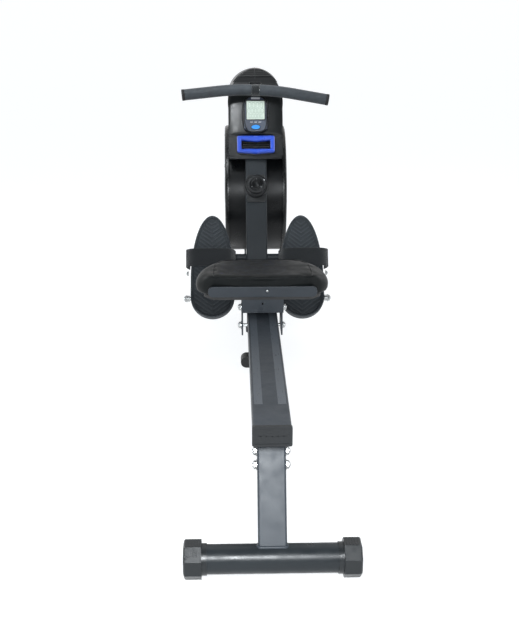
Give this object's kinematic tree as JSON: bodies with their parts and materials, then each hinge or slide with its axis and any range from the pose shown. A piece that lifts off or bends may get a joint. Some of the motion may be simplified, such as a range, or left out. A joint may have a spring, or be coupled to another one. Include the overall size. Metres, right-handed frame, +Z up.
{
  "type": "rowing machine",
  "caption": "Folding magnetic rowing machine: sliding seat on a long rail, tilting foot plates, shrouded flywheel with a pull handle, monitor and tension knob.",
  "frame": {"origin": "on the floor under the middle of the machine's bounding box", "axes": "+Z up, +Y forwards from the rear foot to the flywheel, +X to the rower's right"},
  "size_m": [0.4596, 1.875, 0.8226],
  "materials": {
    "frame_paint": "satin powder coat",
    "foot_plastic": "moulded, matt",
    "bolts": "zinc plated",
    "pedal_plastic": "textured tread",
    "strap_webbing": "woven nylon",
    "iron": "turned rim",
    "bearing": "ground",
    "pulley_plastic": "moulded",
    "belt": "ribbed",
    "brake_steel": "satin",
    "shroud_gloss": "glossy moulded shell",
    "cover_gloss": "glossy with a textured centre",
    "blue_trim": "glossy blue",
    "console_grey": "dark blue-grey",
    "lcd": "pale liquid-crystal window",
    "knob_plastic": "fluted",
    "handle_steel": "polished",
    "foam": "closed-cell foam",
    "board": "black-stained board",
    "vinyl": "fine-grain black vinyl"
  },
  "bodies": {
    "frame": {"front_foot_tube": "frame_paint", "front_foot_caps": "foot_plastic", "base_beam": "frame_paint", "mid_foot": "foot_plastic", "mast": "frame_paint", "pedal_stop_bar": "frame_paint", "fold_cheeks": "frame_paint", "fold_pin": "bolts", "axle_plates": "frame_paint", "pedal_axle": "bolts", "drive_axles": "bolts", "return_spring": "bearing", "drive_belt": "belt", "pivot_pins": "bolts", "tension_cable": "belt", "shroud_left": "shroud_gloss", "shroud_right": "shroud_gloss", "side_cover_left": "cover_gloss", "side_cover_right": "cover_gloss", "fascia": "shroud_gloss", "handle_rest": "blue_trim", "console_case": "console_grey", "console_lens": "lcd", "knob_base": "knob_plastic"},
    "rail": {"rail_beam": "frame_paint", "rail_end_cap": "foot_plastic", "rail_stops": "foot_plastic", "rail_brackets": "frame_paint", "rear_post": "frame_paint", "post_bolts": "bolts", "rear_foot_tube": "frame_paint", "rear_foot_caps": "foot_plastic"},
    "seat": {"seat_carriage": "frame_paint", "roller_bolts": "bolts", "seat_board": "board", "seat_pad": "vinyl"},
    "roller_rear": {"seat_rollers_rear": "pulley_plastic"},
    "roller_front": {"seat_rollers_front": "pulley_plastic"},
    "roller_under": {"seat_rollers_under": "pulley_plastic"},
    "handle": {"handle_bar": "handle_steel", "handle_grips": "foam", "strap_loop": "strap_webbing", "pull_strap": "strap_webbing"},
    "spool": {"strap_spool": "pulley_plastic"},
    "guide": {"guide_roller": "pulley_plastic"},
    "pulley": {"drive_pulley": "pulley_plastic"},
    "flywheel": {"flywheel": "iron", "flywheel_bearings": "bearing", "flywheel_pulley": "pulley_plastic"},
    "brake": {"brake_arm": "brake_steel"},
    "knob": {"resistance_knob": "knob_plastic"},
    "button": {"console_button": "blue_trim"},
    "lock": {"lock_knob": "knob_plastic"},
    "pedal_left": {"pedal_left": "pedal_plastic", "foot_strap_left": "strap_webbing"},
    "pedal_right": {"pedal_right": "pedal_plastic", "foot_strap_right": "strap_webbing"},
    "wheel_left": {"transport_wheel_left": "pulley_plastic"},
    "wheel_right": {"transport_wheel_right": "pulley_plastic"}
  },
  "joints": [
    {"name": "rail_fold", "type": "hinge", "parent": "frame", "child": "rail", "pos_m": [0, 0.3055, 0.24], "axis": [-1, 0, 0], "range_deg": [0, 70]},
    {"name": "seat_slide", "type": "slide", "parent": "rail", "child": "seat", "axis": [0, 1, 0], "range_m": [-0.55, 0.15]},
    {"name": "rear_roller_spin", "type": "hinge", "parent": "seat", "child": "roller_rear", "pos_m": [0, -0.1815, 0.31125], "axis": [1, 0, 0], "range_deg": [-1000, 2500]},
    {"name": "front_roller_spin", "type": "hinge", "parent": "seat", "child": "roller_front", "pos_m": [0, -0.0755, 0.31125], "axis": [1, 0, 0], "range_deg": [-1000, 2500]},
    {"name": "under_roller_spin", "type": "hinge", "parent": "seat", "child": "roller_under", "pos_m": [0, -0.1285, 0.24475], "axis": [1, 0, 0], "range_deg": [-3000, 1000]},
    {"name": "handle_pull", "type": "slide", "parent": "frame", "child": "handle", "axis": [0, -0.9781, -0.2079], "range_m": [0, 1.05], "stiffness_N_per_m": 20, "springref_m": -0.6, "deforming": ["pull_strap"]},
    {"name": "spool_turn", "type": "hinge", "parent": "frame", "child": "spool", "pos_m": [0, 0.7055, 0.66], "axis": [1, 0, 0], "range_deg": [-100, 2100]},
    {"name": "guide_spin", "type": "hinge", "parent": "frame", "child": "guide", "pos_m": [0, 0.65799, 0.77429], "axis": [1, 0, 0], "range_deg": [-200, 7000]},
    {"name": "flywheel_spin", "type": "hinge", "parent": "frame", "child": "flywheel", "pos_m": [0, 0.7255, 0.425], "axis": [1, 0, 0], "continuous": true},
    {"name": "pulley_spin", "type": "hinge", "parent": "frame", "child": "pulley", "pos_m": [0, 0.7055, 0.66], "axis": [1, 0, 0], "continuous": true},
    {"name": "knob_turn", "type": "hinge", "parent": "frame", "child": "knob", "pos_m": [0, 0.48096, 0.48558], "axis": [0, -0.9063, 0.4226], "range_deg": [0, 280]},
    {"name": "brake_swing", "type": "hinge", "parent": "frame", "child": "brake", "pos_m": [0, 0.83188, 0.55178], "axis": [-1, 0, 0], "range_deg": [-1, 5]},
    {"name": "button_press", "type": "slide", "parent": "frame", "child": "button", "axis": [0, 0.891, -0.454], "range_m": [0, 0.0015], "stiffness_N_per_m": 400},
    {"name": "lock_turn", "type": "hinge", "parent": "frame", "child": "lock", "pos_m": [0, 0.33335, 0.2205], "axis": [1, 0, 0], "range_deg": [0, 720]},
    {"name": "pedal_left_tilt", "type": "hinge", "parent": "frame", "child": "pedal_left", "pos_m": [-0.137, 0.35829, 0.16101], "axis": [1, 0, 0], "range_deg": [0, 25]},
    {"name": "pedal_right_tilt", "type": "hinge", "parent": "frame", "child": "pedal_right", "pos_m": [0.137, 0.35829, 0.16101], "axis": [1, 0, 0], "range_deg": [0, 25]},
    {"name": "wheel_left_spin", "type": "hinge", "parent": "frame", "child": "wheel_left", "pos_m": [-0.12, 0.9135, 0.025], "axis": [1, 0, 0], "continuous": true},
    {"name": "wheel_right_spin", "type": "hinge", "parent": "frame", "child": "wheel_right", "pos_m": [0.12, 0.9135, 0.025], "axis": [1, 0, 0], "continuous": true}
  ],
  "couplings": [
    {"joint": "rear_roller_spin", "follows": "seat_slide", "rad_per_m": -71.429},
    {"joint": "front_roller_spin", "follows": "seat_slide", "rad_per_m": -71.429},
    {"joint": "under_roller_spin", "follows": "seat_slide", "rad_per_m": 83.333},
    {"joint": "spool_turn", "follows": "handle_pull", "rad_per_m": 32.258},
    {"joint": "guide_spin", "follows": "handle_pull", "rad_per_m": 100},
    {"joint": "pulley_spin", "follows": "flywheel_spin", "ratio": 0.275},
    {"joint": "brake_swing", "follows": "knob_turn", "ratio": 0.014286}
  ]
}
